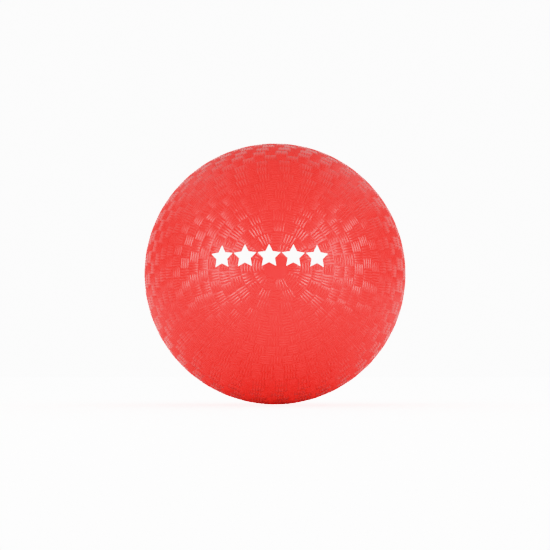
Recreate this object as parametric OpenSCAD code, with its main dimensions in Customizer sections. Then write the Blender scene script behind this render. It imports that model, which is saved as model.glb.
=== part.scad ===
// Playground rubber ball: a moulded cover bonded over an airtight bladder, with
// a self-sealing needle valve at the back and a printed row of stars in front.
// The origin is the ball's centre, +Z is up and the valve's axis is +Y.

/* [Ball] */
// Outside diameter, over the moulded ribs
ball_d = 215.9; // [180:0.1:260]
// Thickness of the moulded cover
cover_t = 1.6; // [1.2:0.1:3]
// Thickness of the airtight bladder
bladder_t = 0.7; // [0.5:0.1:1.5]
// Cement line between two bonded pieces
bond_t = 0.05; // [0.02:0.01:0.1]

/* [Valve housing] */
// Radius of the barrel that fills the hole in the cover
barrel_r = 6; // [5.5:0.1:8]
// Length of the barrel, from the valve's face to its inner end
barrel_len = 17; // [14:0.5:22]
// How far the valve's face sits below the ball's surface
face_sink = 0.4; // [0:0.1:1]
// Radius of the flange cemented inside the bladder
flange_r = 17; // [12:0.5:24]
// Thickness of the flange at its rim
flange_rim_t = 0.5; // [0.3:0.1:1.5]
// Height of the cone that stiffens the barrel's root
root_h = 3; // [1:0.5:4]
// Thickness of the socket's floor, which holds the sealing slit
floor_t = 2; // [1.5:0.1:3]
// Length of the sealing slit
slit_len = 3.2; // [2.4:0.1:4]
// Gap drawn for the slit, which rubber pressure closes
slit_gap = 0.1; // [0.05:0.01:0.2]

/* [Valve plug] */
// Radius of the plug's stem
stem_r = 3.5; // [3:0.1:4]
// Radius of the plug's head
head_r = 4.6; // [4.2:0.1:5]
// Thickness of the plug's head
head_t = 1.4; // [1:0.1:2]
// Running clearance around the plug
plug_slip = 0.05; // [0.02:0.01:0.1]
// Space between the plug's tip and the socket's floor
tip_space = 0.3; // [0.1:0.1:1]
// Radius of the channel for an inflating needle
needle_r = 1; // [0.9:0.05:1.2]
// Radius of the funnel that guides the needle in
funnel_r = 2.2; // [1.5:0.1:3]
// Depth of the funnel
funnel_h = 1.2; // [0.6:0.1:2]

/* [Printed stars] */
// Number of stars in the printed row
star_count = 5; // [1:1:7]
// Radius of a star's points
star_r = 9.4; // [6:0.1:11]
// Radius of a star's notches, as a share of its points'
star_notch = 0.5; // [0.38:0.01:0.7]
// Distance from star to star along the surface
star_pitch = 18.9; // [14:0.1:24]
// Angle of the row above the ball's front pole
row_lift = 4.6; // [0:0.1:20]
// Turn of the row about +Z away from the front pole, + towards +X
row_turn = -3.1; // [-20:0.1:20]
// Thickness of the ink
ink_t = 0.1; // [0.05:0.01:0.2]
// Space under the ink
ink_gap = 0.02; // [0.01:0.01:0.05]

/* [Hidden] */

ball_r = ball_d / 2;
cover_in_r = ball_r - cover_t;
bladder_out_r = cover_in_r - bond_t;
bladder_in_r = bladder_out_r - bladder_t;
flange_out_r = bladder_in_r - bond_t;

// Heights on the valve's axis, from the ball's centre
face_z = ball_r - face_sink;
barrel_end_z = face_z - barrel_len;
floor_z = barrel_end_z + floor_t;
tip_z = floor_z + tip_space;
seat_z = face_z - head_t;
flange_back_z = sqrt(flange_out_r * flange_out_r - flange_r * flange_r) - flange_rim_t;

edge = 1; // bevel at the inner ends of the barrel and the stem
over = 1; // how far a cut runs past the face it opens
star_step = star_pitch / ball_r * 180 / PI;
round_fn = 180;
small_fn = 64;

// Places what is drawn along +Z on the valve's axis
module on_valve_axis() {
    rotate([-90, 0, 0]) children();
}

// Hollow ball between two radii
module shell(outer, inner) {
    difference() {
        sphere(r = outer, $fn = round_fn);
        sphere(r = inner, $fn = round_fn);
    }
}

// Hollow ball with a round hole for the valve's barrel
module holed_shell(outer, inner) {
    difference() {
        shell(outer, inner);
        on_valve_axis() cylinder(r = barrel_r + bond_t, h = outer + over, $fn = small_fn);
    }
}

module cover() {
    color("#EF4A45") holed_shell(ball_r, cover_in_r);
}

module bladder() {
    color("#2B2B2D") holed_shell(bladder_out_r, bladder_in_r);
}

// Flange with a flat back and a thin rim, pressed against the bladder
module flange() {
    intersection() {
        sphere(r = flange_out_r, $fn = round_fn);
        translate([0, 0, flange_back_z]) cylinder(r = flange_r, h = flange_r, $fn = small_fn);
    }
}

// Barrel with a domed face, a bevelled inner end and a stiff root
module barrel() {
    intersection() {
        sphere(r = face_z, $fn = round_fn);
        translate([0, 0, barrel_end_z + edge]) cylinder(r = barrel_r, h = barrel_len, $fn = small_fn);
    }
    translate([0, 0, barrel_end_z]) cylinder(r1 = barrel_r - edge, r2 = barrel_r, h = edge, $fn = small_fn);
    translate([0, 0, flange_back_z - root_h])
        cylinder(r1 = barrel_r, r2 = barrel_r + root_h, h = root_h, $fn = small_fn);
}

module valve_housing() {
    color("#343436") on_valve_axis() difference() {
        union() {
            flange();
            barrel();
        }
        translate([0, 0, floor_z]) cylinder(r = stem_r + plug_slip, h = barrel_len, $fn = small_fn);
        translate([0, 0, seat_z]) cylinder(r = head_r + plug_slip, h = barrel_len, $fn = small_fn);
        translate([-slit_len / 2, -slit_gap / 2, barrel_end_z - over])
            cube([slit_len, slit_gap, floor_t + 2 * over]);
    }
}

module valve_plug() {
    color("#C9B28A") on_valve_axis() difference() {
        union() {
            translate([0, 0, tip_z]) cylinder(r1 = stem_r - edge, r2 = stem_r, h = edge, $fn = small_fn);
            translate([0, 0, tip_z + edge])
                cylinder(r = stem_r, h = seat_z - tip_z - edge, $fn = small_fn);
            intersection() {
                sphere(r = face_z, $fn = round_fn);
                translate([0, 0, seat_z]) cylinder(r = head_r, h = barrel_len, $fn = small_fn);
            }
        }
        translate([0, 0, tip_z - over]) cylinder(r = needle_r, h = barrel_len, $fn = small_fn);
        translate([0, 0, face_z - funnel_h])
            cylinder(r1 = needle_r, r2 = funnel_r, h = funnel_h, $fn = small_fn);
    }
}

// Flat five-pointed star, one point up
module star() {
    polygon([for (i = [0:9])
        let (r = i % 2 == 0 ? star_r : star_r * star_notch, a = 90 + 36 * i)
        [r * cos(a), r * sin(a)]]);
}

module printed_stars() {
    color("#FFFFFF") intersection() {
        shell(ball_r + ink_gap + ink_t, ball_r + ink_gap);
        rotate([0, 0, row_turn]) rotate([-row_lift, 0, 0])
            for (i = [0:star_count - 1])
                rotate([0, 0, (i - (star_count - 1) / 2) * star_step])
                    rotate([90, 0, 0]) linear_extrude(height = ball_r + over) star();
    }
}

cover();
bladder();
valve_housing();
valve_plug();
printed_stars();
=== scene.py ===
"""Playground rubber ball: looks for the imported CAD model. Metres and radians, +Z up, valve on +Y."""
import math

import bmesh
import bpy
import numpy as np
from mathutils import Matrix, Vector


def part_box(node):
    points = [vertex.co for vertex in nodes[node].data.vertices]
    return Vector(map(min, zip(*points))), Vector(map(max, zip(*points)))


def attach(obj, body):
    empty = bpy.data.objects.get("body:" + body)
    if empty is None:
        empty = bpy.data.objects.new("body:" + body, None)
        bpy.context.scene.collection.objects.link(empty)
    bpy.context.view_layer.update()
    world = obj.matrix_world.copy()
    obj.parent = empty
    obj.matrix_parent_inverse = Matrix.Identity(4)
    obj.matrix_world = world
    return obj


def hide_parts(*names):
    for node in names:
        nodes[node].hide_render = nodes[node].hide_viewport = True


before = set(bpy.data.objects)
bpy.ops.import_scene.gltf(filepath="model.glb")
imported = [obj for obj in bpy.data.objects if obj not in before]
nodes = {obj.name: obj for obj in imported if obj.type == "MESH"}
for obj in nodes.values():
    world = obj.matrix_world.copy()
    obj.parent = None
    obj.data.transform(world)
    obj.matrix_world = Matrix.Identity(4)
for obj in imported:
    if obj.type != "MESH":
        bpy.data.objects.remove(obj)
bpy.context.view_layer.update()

MM = 0.001
DEG = math.pi / 180

# ---------------------------------------------------------------- sizes, as in the CAD model
BOND_T = 0.05 * MM  # cement between two pieces
BARREL_R = 6 * MM  # barrel of the valve's housing
BALL_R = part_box("cover")[1].z
COVER_IN_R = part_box("bladder")[1].z + BOND_T
HOLE_R = BARREL_R + BOND_T  # hole in the cover, around the barrel

# ---------------------------------------------------------------- the basket weave
RINGS = 36  # rings from pole to pole, of which the first and the last are smooth caps
LINE_ROOM = 0.55 * DEG  # half width of the smooth band along the mould's parting line
RING = (math.pi / 2 - LINE_ROOM) / (RINGS / 2)  # polar width of one ring
CELLS_AT_EQUATOR = 75
RIB_H = 0.42 * MM
RIBS = 4  # ribs in one cell
SIDE_GAP = 0.025  # share of a cell left flat beside its outer ribs
END_GAP = 0.03  # share of a cell left flat at the ends of its ribs
END_SLOPE = 0.05  # share of a cell over which a rib's end rises
FOOT = 0.45  # half width of a rib at its foot, as a share of the ribs' pitch
SHOULDER = 0.22  # half width of a rib at its shoulder
SHOULDER_H = 0.64  # height of the shoulder, as a share of the rib's
RING_EDGE = 0.012  # share of a ring left for the join to the next ring
CHORD_DIP = 0.006  # how far an edge may cut the corner of its circle, as a share of a ring
BASE_R = BALL_R - RIB_H
TURN_OF_FIRST = 0.45  # where the rings start, in cells: that of ring 0
TURN_BY_RING = 1.78  # what each ring's number adds to it
TURN_BY_SQUARE = 0.38  # what the square of the ring's number adds
CAP_LOOPS = [(8, 3.6 * DEG), (6, 2.2 * DEG), (4, 1.0 * DEG)]  # front cap: vertices and polar angle
BEAD = [(-0.42, 0), (-0.22, 0.3), (0, 0.42), (0.22, 0.3), (0.42, 0)]  # mm across the line, share of RIB_H
BEAD_STEPS = 240  # steps round the ball
VALVE_RIM = [(8.4, 0), (8.1, 0.28), (7.8, 0.42), (6.6, 0.42), (6.25, 0.34)]  # radius in mm, share of RIB_H
VALVE_STEPS = 64  # steps round the valve
INSIDE_STEPS = 128  # steps round the cover's inner face
INSIDE_ROWS = 62  # rows of it from the front pole to the valve's hole


def rib_pitch():
    return (1 - 2 * SIDE_GAP) / RIBS


def rib_centres():
    return [SIDE_GAP + (i + 0.5) * rib_pitch() for i in range(RIBS)]


def polar_in(k, share):
    """Polar angle at a share of ring k. The parting line's band lies between the two middle rings."""
    if k < RINGS / 2:
        return (k + share) * RING
    return math.pi - (RINGS - k - share) * RING


def cell_count(k):
    """Even number of cells in ring k, so that the two kinds of cell alternate all the way round."""
    return 2 * round(CELLS_AT_EQUATOR / 2 * math.sin(math.pi * (k + 0.5) / RINGS))


def bend_count(k):
    """Steps in which a cell's edges along ring k are bent, to follow the ring's circle."""
    theta = min(k + 1, RINGS - k) * RING
    dip = (1 - math.cos(math.pi / cell_count(k))) * math.sin(theta) * abs(math.cos(theta)) / RING
    return max(1, math.ceil(math.sqrt(dip / CHORD_DIP)))


def ring_turn(k):
    """Where the first cell of ring k starts, in radians. Cells of different rings don't line up."""
    turn = (TURN_OF_FIRST + TURN_BY_RING * k + TURN_BY_SQUARE * k * k) % 2
    return turn * 2 * math.pi / cell_count(k)


def on_sphere(theta, phi, r):
    """Point at polar angle theta from the front pole, and phi around it from +X downwards."""
    s = math.sin(theta)
    return (r * s * math.cos(phi), -r * math.cos(theta), -r * s * math.sin(phi))


class MeshBuilder:
    """Collects vertices, faces and each vertex's rib height."""

    def __init__(self):
        self.points = []
        self.faces = []
        self.rise = []

    def add(self, theta, phi, r):
        self.points.append(on_sphere(theta, phi, r))
        self.rise.append(min(1.0, max(0.0, (r - BASE_R) / RIB_H)))
        return len(self.points) - 1

    def face(self, ids, flip=False):
        self.faces.append(tuple(reversed(ids)) if flip else tuple(ids))

    def loop(self, theta, r, count):
        return [self.add(theta, 2 * math.pi * i / count, r) for i in range(count)]

    def band(self, low, high):
        """Quads between two loops with equal counts, high at the larger theta."""
        n = len(low)
        for i in range(n):
            j = (i + 1) % n
            self.face((low[i], low[j], high[j], high[i]))

    def stitch(self, low, at_low, high, at_high, flip=False):
        """Triangles between two open rows of vertices, by where each vertex is along the row."""
        i = j = 0
        while i < len(low) - 1 or j < len(high) - 1:
            take_low = j == len(high) - 1
            if i < len(low) - 1 and j < len(high) - 1:
                take_low = at_low[i] + at_low[i + 1] < at_high[j] + at_high[j + 1]
            if take_low:
                self.face((low[i], low[i + 1], high[j]), flip)
                i += 1
            else:
                self.face((low[i], high[j + 1], high[j]), flip)
                j += 1

    def zip_loops(self, low, low_start, high, high_start):
        """Closes the gap between two closed loops with different counts and starts."""
        turn = 2 * math.pi
        step_low, step_high = turn / len(low), turn / len(high)
        shift = round((low_start - high_start) / step_high)
        ids = [high[(shift + i) % len(high)] for i in range(len(high) + 1)]
        at_high = [high_start + (shift + i) * step_high for i in range(len(high) + 1)]
        at_low = [low_start + i * step_low for i in range(len(low) + 1)]
        self.stitch(low + low[:1], at_low, ids, at_high)

    def build(self, name):
        mesh = bpy.data.meshes.new(name)
        mesh.from_pydata(self.points, [], self.faces)
        mesh.polygons.foreach_set("use_smooth", [True] * len(mesh.polygons))
        rise = mesh.attributes.new("rise", "FLOAT", "POINT")
        rise.data.foreach_set("value", np.array(self.rise, np.float32))
        mesh.validate()
        mesh.update()
        piece = bpy.data.objects.new(name, mesh)
        bpy.context.scene.collection.objects.link(piece)
        return piece


def spread(low, high, steps):
    return [low + (high - low) * i / steps for i in range(steps + 1)]


def add_rib(b, place, centre, bends, flip):
    """One rib as a low rounded ridge with sloped ends. Returns the rows of vertices along its two feet."""
    p = rib_pitch()
    foot_at = spread(END_GAP, 1 - END_GAP, bends)
    top_at = spread(END_GAP + END_SLOPE, 1 - END_GAP - END_SLOPE, bends)
    across = [(-FOOT, 0), (-SHOULDER, SHOULDER_H), (0, 1), (SHOULDER, SHOULDER_H), (FOOT, 0)]
    rows = [[place(centre + a * p, t, h) for t in (top_at if h else foot_at)] for a, h in across]
    for one, two in zip(rows, rows[1:]):
        for i in range(bends):
            b.face((one[i], two[i], two[i + 1], one[i + 1]), flip)
    near_end = [row[0] for row in rows]
    far_end = [row[-1] for row in reversed(rows)]
    for foot, side, crest, other_side, other_foot in (near_end, far_end):
        b.face((foot, other_foot, crest), flip)
        b.face((foot, crest, side), flip)
        b.face((other_foot, other_side, crest), flip)
    return rows[0], rows[-1]


def add_cell(b, edges, place, bends, flip):
    """One cell: its ribs, the flat strips between them and the flat frame out to its four edges."""
    feet = [add_rib(b, place, c, bends, flip) for c in rib_centres()]
    for (_, one), (two, _) in zip(feet, feet[1:]):
        for i in range(bends):
            b.face((one[i], two[i], two[i + 1], one[i + 1]), flip)
    half = FOOT * rib_pitch()
    at = [c + side * half for c in rib_centres() for side in (-1, 1)]
    foot_at = spread(END_GAP, 1 - END_GAP, bends)
    near, far, left, right = edges
    b.stitch(near, spread(0, 1, len(near) - 1), [row[0] for pair in feet for row in pair], at, flip)
    b.stitch([row[-1] for pair in feet for row in pair], at, far, spread(0, 1, len(far) - 1), flip)
    b.stitch(feet[0][0], foot_at, left, spread(0, 1, len(left) - 1), flip)
    b.stitch(right, spread(0, 1, len(right) - 1), feet[-1][1], foot_at, flip)


def add_ring(b, k):
    """Ring k of alternating cells. Returns its inner and outer loops and where they start."""
    n = cell_count(k)
    bends = bend_count(k)
    width = 2 * math.pi / n
    start = ring_turn(k)
    turns = [start + i * width / bends for i in range(n * bends)]
    inner = [b.add(polar_in(k, RING_EDGE), phi, BASE_R) for phi in turns]
    outer = [b.add(polar_in(k, 1 - RING_EDGE), phi, BASE_R) for phi in turns]
    for i in range(n):
        along_edge = [(i * bends + m) % (n * bends) for m in range(bends + 1)]
        low, high = [inner[m] for m in along_edge], [outer[m] for m in along_edge]
        first, last = [low[0], high[0]], [low[-1], high[-1]]

        def radial(a, along, h):
            return b.add(polar_in(k, along), start + (i + a) * width, BASE_R + h * RIB_H)

        def tangential(a, along, h):
            return b.add(polar_in(k, a), start + (i + along) * width, BASE_R + h * RIB_H)

        if i % 2:
            add_cell(b, (low, high, first, last), radial, 1, False)
        else:
            add_cell(b, (first, last, low, high), tangential, bends, True)
    return inner, outer, start


def add_front_cap(b, loop, start):
    """Smooth cap over the front pole, from the first ring's inner loop inwards."""
    for count, theta in CAP_LOOPS:
        inner = [b.add(theta, start + 2 * math.pi * i / count, BASE_R) for i in range(count)]
        b.zip_loops(inner, start, loop, start)
        loop = inner
    pole = b.add(0, 0, BASE_R)
    for i in range(len(loop)):
        b.face((pole, loop[(i + 1) % len(loop)], loop[i]))


def add_parting_line(b, front, front_start, back, back_start):
    """Low bead that the mould's two halves leave round the equator."""
    loops = [b.loop(math.pi / 2 + x * MM / BALL_R, BASE_R + h * RIB_H, BEAD_STEPS) for x, h in BEAD]
    b.zip_loops(front, front_start, loops[0], 0)
    for low, high in zip(loops, loops[1:]):
        b.band(low, high)
    b.zip_loops(loops[-1], 0, back, back_start)


def add_valve_hole(b, loop, start):
    """Smooth ring round the valve, its low moulded rim and the hole's wall. Returns the wall's inner end."""
    profile = [(d * MM, BASE_R + h * RIB_H) for d, h in VALVE_RIM]
    profile += [(HOLE_R, BASE_R), (HOLE_R, COVER_IN_R)]
    loops = [b.loop(math.pi - math.asin(d / r), r, VALVE_STEPS) for d, r in profile]
    b.zip_loops(loop, start, loops[0], 0)
    for low, high in zip(loops, loops[1:]):
        b.band(low, high)
    return loops[-1]


def add_inside(b, hole):
    """Inner face of the cover, from the valve's hole to the front pole."""
    span = math.pi - math.asin(HOLE_R / COVER_IN_R)
    last = b.loop(span * (INSIDE_ROWS - 1) / INSIDE_ROWS, COVER_IN_R, INSIDE_STEPS)
    b.zip_loops(hole, 0, last, 0)
    for i in range(INSIDE_ROWS - 2, 0, -1):
        loop = b.loop(span * i / INSIDE_ROWS, COVER_IN_R, INSIDE_STEPS)
        b.band(last, loop)
        last = loop
    pole = b.add(0, 0, COVER_IN_R)
    for i in range(INSIDE_STEPS):
        b.face((last[i], last[(i + 1) % INSIDE_STEPS], pole))


def make_cover():
    b = MeshBuilder()
    loop = last_start = None
    for k in range(1, RINGS - 1):
        inner, outer, start = add_ring(b, k)
        if k == 1:
            add_front_cap(b, inner, start)
        elif k == RINGS / 2:
            add_parting_line(b, loop, last_start, inner, start)
        else:
            b.zip_loops(loop, last_start, inner, start)
        loop, last_start = outer, start
    hole = add_valve_hole(b, loop, last_start)
    add_inside(b, hole)
    return b.build("rubber_cover")


# ---------------------------------------------------------------- the printed stars
STARS = 5
STAR_POINTS = 5
STAR_R = 9.4 * MM
STAR_NOTCH = 0.5  # radius of a notch, as a share of STAR_R
STAR_PITCH = 18.9 * MM  # from star to star along the ball's surface
ROW_LIFT = 4.6 * DEG  # the row above the front pole
ROW_TURN = -3.1 * DEG  # the row away from the front pole about Z, + towards +X
STAR_GRID = 27  # rows of triangles in each tenth of a star
INK_FILL = 0.5  # how far the ink fills the grooves between the ribs
INK_T = 0.05 * MM  # height of the ink's face above the ribs
KEYS_PER_METRE = 1e8  # corners that round to the same key are one vertex


def rise_at(theta, phi):
    """Height of the ribs at a place on the ball, as a share of the full height."""
    t = theta / RING if theta < math.pi / 2 else RINGS - (math.pi - theta) / RING
    k = int(t)
    if k < 1 or k > RINGS - 2:
        return 0.0
    u = ((phi - ring_turn(k)) / (2 * math.pi / cell_count(k))) % cell_count(k)
    ring_share, cell_share = t - k, u % 1
    across, along = (cell_share, ring_share) if int(u) % 2 else (ring_share, cell_share)
    off = min(abs(across - c) for c in rib_centres()) / rib_pitch()
    ridge = np.interp(off, [0, SHOULDER, FOOT], [1, SHOULDER_H, 0])
    end = np.interp(min(along, 1 - along), [END_GAP, END_GAP + END_SLOPE], [0, 1])
    return float(min(ridge, end))


def star_turn(i):
    """Rotation that carries a star drawn at the front pole to place i of the row."""
    step = (i - (STARS - 1) / 2) * STAR_PITCH / BALL_R
    lift = Matrix.Rotation(-ROW_LIFT, 3, "X")
    return Matrix.Rotation(ROW_TURN, 3, "Z") @ lift @ Matrix.Rotation(step, 3, "Z")


def ink_point(x, z, turn, over):
    """Point of the ink above the flat star's point x, z. It follows the ribs and half fills their grooves."""
    out = turn @ Vector((x, -math.sqrt(BALL_R**2 - x * x - z * z), z)).normalized()
    theta = math.acos(max(-1, min(1, -out.y)))
    rise = rise_at(theta, math.atan2(-out.z, out.x) % (2 * math.pi))
    return out * (BASE_R + RIB_H * (INK_FILL + (1 - INK_FILL) * rise) + over)


def star_corner(i):
    r = STAR_R if i % 2 == 0 else STAR_R * STAR_NOTCH
    a = math.pi / 2 + i * math.pi / STAR_POINTS
    return Vector((r * math.cos(a), r * math.sin(a)))


def add_star(bm, turn):
    """Closed slab of ink in a star's shape: ten triangles from the centre, each cut into small ones."""
    n = STAR_GRID
    found = {}

    def vert(p, over):
        key = (round(p.x * KEYS_PER_METRE), round(p.y * KEYS_PER_METRE), over)
        if key not in found:
            found[key] = bm.verts.new(ink_point(p.x, p.y, turn, over))
        return found[key]

    for i in range(2 * STAR_POINTS):
        a, c = star_corner(i), star_corner((i + 1) % (2 * STAR_POINTS))

        def at(row, col):
            return (a * (row - col) + c * col) / n

        for row in range(n):
            for col in range(row + 1):
                three = [at(row, col), at(row + 1, col), at(row + 1, col + 1)]
                tris = [three]
                if col < row:
                    tris.append([at(row, col), at(row + 1, col + 1), at(row, col + 1)])
                for tri in tris:
                    bm.faces.new([vert(p, INK_T) for p in tri])
                    bm.faces.new([vert(p, 0.0) for p in reversed(tri)])
        for col in range(n):
            one, two = at(n, col), at(n, col + 1)
            bm.faces.new([vert(two, INK_T), vert(one, INK_T), vert(one, 0.0), vert(two, 0.0)])


def make_stars():
    bm = bmesh.new()
    for i in range(STARS):
        add_star(bm, star_turn(i))
    bmesh.ops.recalc_face_normals(bm, faces=bm.faces)
    mesh = bpy.data.meshes.new("star_print")
    bm.to_mesh(mesh)
    bm.free()
    for p in mesh.polygons:
        p.use_smooth = True
    piece = bpy.data.objects.new("star_print", mesh)
    bpy.context.scene.collection.objects.link(piece)
    return piece


# ---------------------------------------------------------------- materials: pairs are ends of a blend
# The grooves' red is darker than the ribs' red: painted shade in the grooves between the ribs.
RED_GROOVE_PAINTED_SHADE = ((0.49, 0.019, 0.015), (0.51, 0.022, 0.017))
RED_RIBS = ((0.51, 0.032, 0.026), (0.53, 0.037, 0.030))
RIB_SHARE = 0.75  # how much of the ribs' red shows on their crests; lower down it blends into the darker red painted as shade in the grooves
RED_ROUGH = (0.36, 0.27)  # in the grooves, and on the crests
INK = ((0.90, 0.89, 0.88), (0.97, 0.97, 0.97))
INK_ROUGH = (0.35, 0.5)
BLACK_BUTYL = ((0.012, 0.012, 0.013), (0.022, 0.022, 0.024))
VALVE_RUBBER = ((0.016, 0.016, 0.017), (0.03, 0.03, 0.032))
GUM_RUBBER = ((0.42, 0.28, 0.13), (0.52, 0.37, 0.19))
TALC_PALER = 0.25  # how much paler talc is than the rubber under it
ROUGH_SPREAD = 0.08  # how far the roughness strays from its mean


def new_material(name):
    mat = bpy.data.materials.new(name)
    mat.use_nodes = True
    tree = mat.node_tree
    shader = tree.nodes["Principled BSDF"]
    place = tree.nodes.new("ShaderNodeTexCoord").outputs["Object"]
    return mat, tree, shader, place


def noise(tree, place, size, detail=3.0):
    """Noise whose features are about size metres across, from 0 to 1."""
    node = tree.nodes.new("ShaderNodeTexNoise")
    node.inputs["Scale"].default_value = 1 / size
    node.inputs["Detail"].default_value = detail
    tree.links.new(place, node.inputs["Vector"])
    return node.outputs["Fac"]


def ramp(tree, value, low, high, at=(0.3, 0.7)):
    """Goes from low to high as value goes from one end of at to the other. Noise is mostly 0.3 to 0.7."""
    node = tree.nodes.new("ShaderNodeMapRange")
    for name, v in (("From Min", at[0]), ("From Max", at[1]), ("To Min", low), ("To Max", high)):
        node.inputs[name].default_value = v
    tree.links.new(value, node.inputs["Value"])
    return node.outputs["Result"]


def mix(tree, share, one, two):
    """Blend of two colours by share."""
    node = tree.nodes.new("ShaderNodeMix")
    node.data_type = "RGBA"
    tree.links.new(share, node.inputs["Factor"])
    for name, v in (("A", one), ("B", two)):
        socket = [s for s in node.inputs if s.name == name and s.type == "RGBA"][0]
        if isinstance(v, tuple):
            socket.default_value = (*v, 1)
        else:
            tree.links.new(v, socket)
    return [s for s in node.outputs if s.type == "RGBA"][0]


def bump(tree, shader, heights):
    """Chains bumps, each a 0 to 1 height and its depth in metres."""
    normal = None
    for height, depth in heights:
        node = tree.nodes.new("ShaderNodeBump")
        node.inputs["Distance"].default_value = depth
        tree.links.new(height, node.inputs["Height"])
        if normal:
            tree.links.new(normal, node.inputs["Normal"])
        normal = node.outputs["Normal"]
    tree.links.new(normal, shader.inputs["Normal"])


def red_rubber():
    mat, tree, shader, place = new_material("red_rubber")
    rise = tree.nodes.new("ShaderNodeAttribute")
    rise.attribute_name = "rise"
    cloudy = noise(tree, place, 45 * MM)
    speckle = noise(tree, place, 1.1 * MM)
    # Painted shade: by the rib height in rise, the red goes darker in the grooves and paler on the crests.
    painted_groove_shade = mix(tree, ramp(tree, cloudy, 0.0, 1.0), *RED_GROOVE_PAINTED_SHADE)
    pale = mix(tree, ramp(tree, speckle, 0.0, 1.0), *RED_RIBS)
    share = ramp(tree, rise.outputs["Fac"], 0.0, RIB_SHARE, at=(0.2, 1.0))
    tree.links.new(mix(tree, share, painted_groove_shade, pale), shader.inputs["Base Color"])
    rough = ramp(tree, rise.outputs["Fac"], *RED_ROUGH, at=(0.0, 0.8))
    tree.links.new(rough, shader.inputs["Roughness"])
    grain = noise(tree, place, 0.35 * MM, 2.0)
    bump(tree, shader, [(speckle, 0.005 * MM), (grain, 0.001 * MM)])
    return mat


def white_ink():
    mat, tree, shader, place = new_material("white_ink")
    cloudy = noise(tree, place, 6 * MM)
    colour = mix(tree, ramp(tree, cloudy, 0.0, 1.0), *INK)
    tree.links.new(colour, shader.inputs["Base Color"])
    grain = noise(tree, place, 0.5 * MM)
    tree.links.new(ramp(tree, grain, *INK_ROUGH), shader.inputs["Roughness"])
    bump(tree, shader, [(grain, 0.015 * MM)])
    return mat


def plain_rubber(name, low, high, rough, dust):
    """Rubber with mould grain and a little talc: dust is how much talc the palest specks have."""
    mat, tree, shader, place = new_material(name)
    cloudy = noise(tree, place, 3 * MM)
    grain = noise(tree, place, 0.3 * MM)
    base = mix(tree, ramp(tree, cloudy, 0.0, 1.0), low, high)
    talc = tuple(c + TALC_PALER for c in high)
    dusty = ramp(tree, grain, 0.0, dust, at=(0.5, 0.75))
    tree.links.new(mix(tree, dusty, base, talc), shader.inputs["Base Color"])
    uneven = ramp(tree, cloudy, rough - ROUGH_SPREAD, rough + ROUGH_SPREAD)
    tree.links.new(uneven, shader.inputs["Roughness"])
    bump(tree, shader, [(cloudy, 0.05 * MM), (grain, 0.015 * MM)])
    return mat


def finish_piece(piece, mat):
    piece.data.materials.clear()
    piece.data.materials.append(mat)


# ---------------------------------------------------------------- stage, lights and camera
BALL_SHARE = 0.237818  # the ball's radius in the photo, as a share of the picture's width
PICTURE_SHIFT = -0.001818  # shift of the picture along its height, as a share of it
SENSOR = 36  # width of the camera's sensor, in mm
CLIP_NEAR = 0.01
CAMERA_FAR = 1.6  # from the ball's centre
CAMERA_AZ = -0.65 * DEG
CAMERA_EL = -2.84 * DEG
AMBIENT = (0.58, 1.06)  # brightness of the even light from all round: at the horizon, and overhead
GLOSS_FRONT = 0.15  # brightness of the room in reflections, on the camera's side
GLOSS_BACK = 0.95  # the same behind the ball, where the white backdrop is
GLOSS_EDGE = (0.35, 0.95)  # how far back the room starts to brighten, and where it is brightest
GLOSS_UP = 0.4  # how much brighter the room is overhead
FLOOR_GLOW = 0.65  # light from the floor itself, which is lit from below like a light table
FLOOR_PAINTED_LIGHT_IN_REFLECTIONS = (0.3, 1.0)  # paleness of the floor in reflections, painted darker in front of the ball and paler behind it as painted light: in front of the ball, and behind it
FLOOR_PALE = 0.9  # paleness of the floor otherwise
FLOOR_ROUGH = 0.9
FLOOR_SIZE = 12
BACKDROP = 2.6  # brightness of the backdrop and the floor, as the camera sees them
# One softbox of each kind on both sides: azimuth, elevation, distance, width, height and watts
SOFTBOXES = {
    "key": (44, 12, 1.3, 0.34, 0.65, 12),
    "low": (54, -7, 0.6, 0.22, 0.1, 0.35),
    "top": (105, 50, 1.5, 0.8, 0.7, 2),
}


def towards(az, el):
    """Unit vector from the ball's centre: az 0 is the front, + towards +X, el + upwards."""
    return Vector((math.sin(az) * math.cos(el), -math.cos(az) * math.cos(el), math.sin(el)))


def add_camera():
    data = bpy.data.cameras.new("camera")
    camera = bpy.data.objects.new("camera", data)
    bpy.context.scene.collection.objects.link(camera)
    out = towards(CAMERA_AZ, CAMERA_EL)
    camera.location = out * CAMERA_FAR
    camera.rotation_euler = (-out).to_track_quat("-Z", "Y").to_euler()
    data.sensor_width = SENSOR
    data.lens = SENSOR * BALL_SHARE / math.tan(math.asin(BALL_R / CAMERA_FAR))
    data.shift_y = PICTURE_SHIFT
    data.clip_start = CLIP_NEAR
    bpy.context.scene.camera = camera


def add_softbox(name, az, el, far, wide, high, power):
    """Rectangular lamp that faces the ball's centre. The camera doesn't see it."""
    data = bpy.data.lights.new(name, "AREA")
    data.shape = "RECTANGLE"
    data.size, data.size_y = wide, high
    data.energy = power
    lamp = bpy.data.objects.new(name, data)
    bpy.context.scene.collection.objects.link(lamp)
    out = towards(az * DEG, el * DEG)
    lamp.location = out * far
    lamp.rotation_euler = (-out).to_track_quat("-Z", "Y").to_euler()
    lamp.visible_camera = False


def add_lights():
    for kind, (az, *rest) in SOFTBOXES.items():
        add_softbox(f"{kind}_left", -az, *rest)
        add_softbox(f"{kind}_right", az, *rest)


def by_ray(tree, kind, level, otherwise):
    """level for rays of one kind, such as Camera or Glossy, and otherwise for the others."""
    node = tree.nodes.new("ShaderNodeMix")
    tree.links.new(tree.nodes.new("ShaderNodeLightPath").outputs[f"Is {kind} Ray"], node.inputs[0])
    for i, v in ((2, otherwise), (3, level)):  # the node's inputs A and B for numbers
        if isinstance(v, float):
            node.inputs[i].default_value = v
        else:
            tree.links.new(v, node.inputs[i])
    return node.outputs[0]


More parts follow.
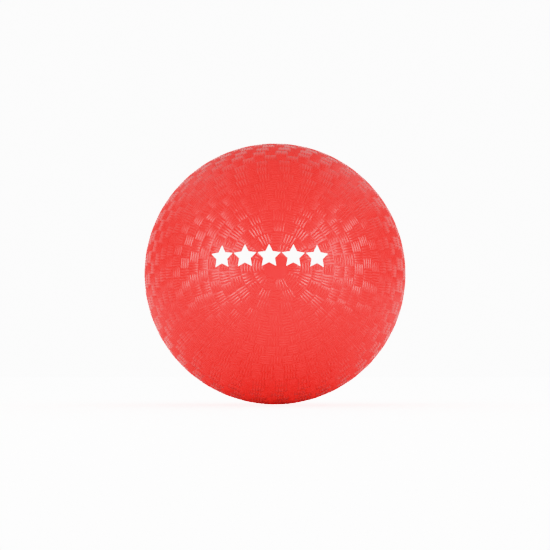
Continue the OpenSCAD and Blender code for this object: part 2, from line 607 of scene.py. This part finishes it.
def add_floor():
    """White floor that glows. The camera sees it as bright as the backdrop, and reflections see it dimmer,
    painted darker in front of the ball and paler behind it as painted light.
    """
    bpy.ops.mesh.primitive_plane_add(size=FLOOR_SIZE, location=(0, 0, -BALL_R))
    floor = bpy.context.object
    floor.name = "floor"
    mat, tree, shader, place = new_material("floor")
    split = tree.nodes.new("ShaderNodeSeparateXYZ")
    tree.links.new(place, split.inputs[0])
    # Painted light: in reflections the floor is painted dim in front of the ball and pale behind it.
    mirrored = ramp(tree, split.outputs["Y"], *FLOOR_PAINTED_LIGHT_IN_REFLECTIONS, at=(-BALL_R, 2 * BALL_R))
    tree.links.new(by_ray(tree, "Glossy", mirrored, FLOOR_PALE), shader.inputs["Base Color"])
    shader.inputs["Roughness"].default_value = FLOOR_ROUGH
    shader.inputs["Emission Color"].default_value = (1, 1, 1, 1)
    glow = by_ray(tree, "Camera", BACKDROP, by_ray(tree, "Glossy", 0.0, FLOOR_GLOW))
    tree.links.new(glow, shader.inputs["Emission Strength"])
    finish_piece(floor, mat)


def add_world():
    """Even light and a white backdrop. In reflections the room is bright behind the ball and dim in front."""
    world = bpy.data.worlds.new("studio")
    bpy.context.scene.world = world
    world.use_nodes = True
    tree = world.node_tree
    split = tree.nodes.new("ShaderNodeSeparateXYZ")
    tree.links.new(tree.nodes.new("ShaderNodeTexCoord").outputs["Generated"], split.inputs[0])
    mirrored = tree.nodes.new("ShaderNodeMath")
    mirrored.operation = "MULTIPLY_ADD"
    tree.links.new(split.outputs["Z"], mirrored.inputs[0])
    mirrored.inputs[1].default_value = GLOSS_UP
    depth = ramp(tree, split.outputs["Y"], GLOSS_FRONT, GLOSS_BACK, at=GLOSS_EDGE)
    tree.links.new(depth, mirrored.inputs[2])
    even = ramp(tree, split.outputs["Z"], *AMBIENT, at=(0, 1))
    back = tree.nodes["Background"]
    back.inputs["Color"].default_value = (1, 1, 1, 1)
    level = by_ray(tree, "Camera", BACKDROP, by_ray(tree, "Glossy", mirrored.outputs[0], even))
    tree.links.new(level, back.inputs["Strength"])


# ---------------------------------------------------------------- put together
def place_on_ball(piece, node, mat):
    """Gives a new piece its material, and the place of the CAD node that it is shown instead of."""
    finish_piece(piece, mat)
    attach(piece, "ball")
    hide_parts(node)


place_on_ball(make_cover(), "cover", red_rubber())
place_on_ball(make_stars(), "printed_stars", white_ink())
finish_piece(nodes["bladder"], plain_rubber("black_butyl", *BLACK_BUTYL, rough=0.6, dust=0.5))
finish_piece(nodes["valve_housing"], plain_rubber("valve_rubber", *VALVE_RUBBER, rough=0.45, dust=0.15))
finish_piece(nodes["valve_plug"], plain_rubber("gum_rubber", *GUM_RUBBER, rough=0.4, dust=0.1))

add_floor()
add_world()
add_camera()
add_lights()
bpy.context.scene.view_settings.view_transform = "Khronos PBR Neutral"
